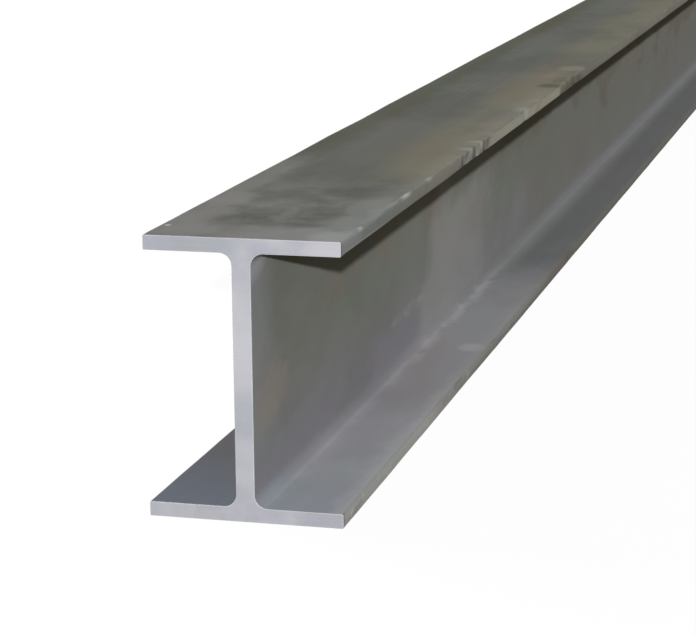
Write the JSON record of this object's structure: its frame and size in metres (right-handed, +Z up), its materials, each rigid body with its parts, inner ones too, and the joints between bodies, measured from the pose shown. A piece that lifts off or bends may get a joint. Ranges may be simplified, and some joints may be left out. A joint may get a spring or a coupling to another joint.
{
  "type": "steel i-beam",
  "caption": "Hot-rolled steel I-beam stock with parallel flanges, filleted web roots, dark mill-finished faces and bright square-sawn ends; carries floors, roofs and lintels.",
  "frame": {"origin": "middle of the lower flange's underside, at half the bar's length", "axes": "+Z up along the web, +Y along the bar, +X across the flanges"},
  "size_m": [0.14, 6, 0.2],
  "materials": {
    "mill_steel": "hot-rolled mill scale with stains and edge scuffs, bright fresh-sawn ends"
  },
  "bodies": {
    "root": {"i_beam": "mill_steel"}
  },
  "joints": []
}
